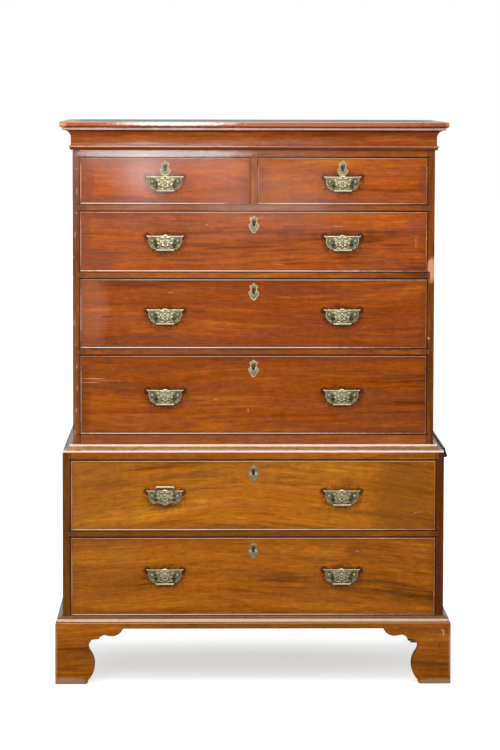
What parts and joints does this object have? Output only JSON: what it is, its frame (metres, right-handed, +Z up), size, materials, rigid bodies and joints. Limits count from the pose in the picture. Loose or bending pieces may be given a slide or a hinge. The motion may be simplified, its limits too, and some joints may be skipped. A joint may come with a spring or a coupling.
{
  "type": "chest on chest",
  "caption": "Tall mahogany chest in two stacked cases with short drawers over long ones, cockbeaded fronts, brass bail handles, a moulded cornice and scroll bracket feet.",
  "frame": {"origin": "on the floor under the middle of the whole chest", "axes": "+Z up, the drawers face -Y and open towards it, +X to the right seen from the front"},
  "size_m": [1.1, 0.568, 1.5632],
  "materials": {
    "mahogany_upper": "old polish",
    "mahogany_lower": "old polish",
    "pine_and_oak": "bare, aged",
    "oak_linings": "bare, aged",
    "brass": "aged, lightly tarnished"
  },
  "bodies": {
    "lower_chest": {"lower_side_left": "mahogany_lower", "lower_side_right": "mahogany_lower", "lower_bottom_board": "pine_and_oak", "lower_top_boards": "pine_and_oak", "lower_back_boards": "pine_and_oak", "lower_drawer_rails": "mahogany_lower", "lower_drawer_runners": "pine_and_oak", "lower_dustboard": "pine_and_oak", "base_moulding": "mahogany_lower", "base_apron": "mahogany_lower", "foot_front_left": "mahogany_lower", "foot_front_right": "mahogany_lower", "foot_rear_left": "mahogany_lower", "foot_rear_right": "mahogany_lower", "foot_glue_blocks": "pine_and_oak", "waist_moulding": "mahogany_lower", "waist_side_strip": "mahogany_lower"},
    "upper_chest": {"upper_side_left": "mahogany_upper", "upper_side_right": "mahogany_upper", "upper_top_board": "pine_and_oak", "upper_bottom_board": "pine_and_oak", "upper_back_boards": "pine_and_oak", "upper_drawer_rails": "mahogany_upper", "upper_muntin": "mahogany_upper", "upper_drawer_runners": "pine_and_oak", "upper_dustboards": "pine_and_oak", "cornice": "mahogany_upper"},
    "drawer_1_left": {"drawer_1_left_front": "mahogany_upper", "drawer_1_left_box": "oak_linings", "drawer_1_left_fittings": "brass"},
    "bail_1_left": {"bail_1_left": "brass"},
    "drawer_1_right": {"drawer_1_right_front": "mahogany_upper", "drawer_1_right_box": "oak_linings", "drawer_1_right_fittings": "brass"},
    "bail_1_right": {"bail_1_right": "brass"},
    "drawer_2": {"drawer_2_front": "mahogany_upper", "drawer_2_box": "oak_linings", "drawer_2_fittings": "brass"},
    "bail_2_left": {"bail_2_left": "brass"},
    "bail_2_right": {"bail_2_right": "brass"},
    "drawer_3": {"drawer_3_front": "mahogany_upper", "drawer_3_box": "oak_linings", "drawer_3_fittings": "brass"},
    "bail_3_left": {"bail_3_left": "brass"},
    "bail_3_right": {"bail_3_right": "brass"},
    "drawer_4": {"drawer_4_front": "mahogany_upper", "drawer_4_box": "oak_linings", "drawer_4_fittings": "brass"},
    "bail_4_left": {"bail_4_left": "brass"},
    "bail_4_right": {"bail_4_right": "brass"},
    "drawer_5": {"drawer_5_front": "mahogany_lower", "drawer_5_box": "oak_linings", "drawer_5_fittings": "brass"},
    "bail_5_left": {"bail_5_left": "brass"},
    "bail_5_right": {"bail_5_right": "brass"},
    "drawer_6": {"drawer_6_front": "mahogany_lower", "drawer_6_box": "oak_linings", "drawer_6_fittings": "brass"},
    "bail_6_left": {"bail_6_left": "brass"},
    "bail_6_right": {"bail_6_right": "brass"}
  },
  "joints": [
    {"name": "upper_chest_lift", "type": "slide", "parent": "lower_chest", "child": "upper_chest", "axis": [0, 0, 1], "range_m": [0, 0.06]},
    {"name": "drawer_1_left_slide", "type": "slide", "parent": "upper_chest", "child": "drawer_1_left", "axis": [0, -1, 0], "range_m": [0, 0.38]},
    {"name": "handle_1_left_swing", "type": "hinge", "parent": "drawer_1_left", "child": "bail_1_left", "pos_m": [-0.246, -0.2467, 1.3978], "axis": [-1, 0, 0], "range_deg": [-14, 190]},
    {"name": "drawer_1_right_slide", "type": "slide", "parent": "upper_chest", "child": "drawer_1_right", "axis": [0, -1, 0], "range_m": [0, 0.38]},
    {"name": "handle_1_right_swing", "type": "hinge", "parent": "drawer_1_right", "child": "bail_1_right", "pos_m": [0.246, -0.2467, 1.3978], "axis": [-1, 0, 0], "range_deg": [-14, 190]},
    {"name": "drawer_2_slide", "type": "slide", "parent": "upper_chest", "child": "drawer_2", "axis": [0, -1, 0], "range_m": [0, 0.38]},
    {"name": "handle_2_left_swing", "type": "hinge", "parent": "drawer_2", "child": "bail_2_left", "pos_m": [-0.246, -0.2467, 1.2333], "axis": [-1, 0, 0], "range_deg": [-14, 196]},
    {"name": "handle_2_right_swing", "type": "hinge", "parent": "drawer_2", "child": "bail_2_right", "pos_m": [0.246, -0.2467, 1.2333], "axis": [-1, 0, 0], "range_deg": [-14, 196]},
    {"name": "drawer_3_slide", "type": "slide", "parent": "upper_chest", "child": "drawer_3", "axis": [0, -1, 0], "range_m": [0, 0.38]},
    {"name": "handle_3_left_swing", "type": "hinge", "parent": "drawer_3", "child": "bail_3_left", "pos_m": [-0.246, -0.2467, 1.0283], "axis": [-1, 0, 0], "range_deg": [-14, 196]},
    {"name": "handle_3_right_swing", "type": "hinge", "parent": "drawer_3", "child": "bail_3_right", "pos_m": [0.246, -0.2467, 1.0283], "axis": [-1, 0, 0], "range_deg": [-14, 196]},
    {"name": "drawer_4_slide", "type": "slide", "parent": "upper_chest", "child": "drawer_4", "axis": [0, -1, 0], "range_m": [0, 0.38]},
    {"name": "handle_4_left_swing", "type": "hinge", "parent": "drawer_4", "child": "bail_4_left", "pos_m": [-0.246, -0.2467, 0.80355], "axis": [-1, 0, 0], "range_deg": [-14, 196]},
    {"name": "handle_4_right_swing", "type": "hinge", "parent": "drawer_4", "child": "bail_4_right", "pos_m": [0.246, -0.2467, 0.80355], "axis": [-1, 0, 0], "range_deg": [-14, 196]},
    {"name": "drawer_5_slide", "type": "slide", "parent": "lower_chest", "child": "drawer_5", "axis": [0, -1, 0], "range_m": [0, 0.4]},
    {"name": "handle_5_left_swing", "type": "hinge", "parent": "drawer_5", "child": "bail_5_left", "pos_m": [-0.246, -0.2747, 0.52585], "axis": [-1, 0, 0], "range_deg": [-210, 0]},
    {"name": "handle_5_right_swing", "type": "hinge", "parent": "drawer_5", "child": "bail_5_right", "pos_m": [0.246, -0.2747, 0.52585], "axis": [-1, 0, 0], "range_deg": [-14, 196]},
    {"name": "drawer_6_slide", "type": "slide", "parent": "lower_chest", "child": "drawer_6", "axis": [0, -1, 0], "range_m": [0, 0.4]},
    {"name": "handle_6_left_swing", "type": "hinge", "parent": "drawer_6", "child": "bail_6_left", "pos_m": [-0.246, -0.2747, 0.3046], "axis": [-1, 0, 0], "range_deg": [-14, 196]},
    {"name": "handle_6_right_swing", "type": "hinge", "parent": "drawer_6", "child": "bail_6_right", "pos_m": [0.246, -0.2747, 0.3046], "axis": [-1, 0, 0], "range_deg": [-14, 196]}
  ]
}
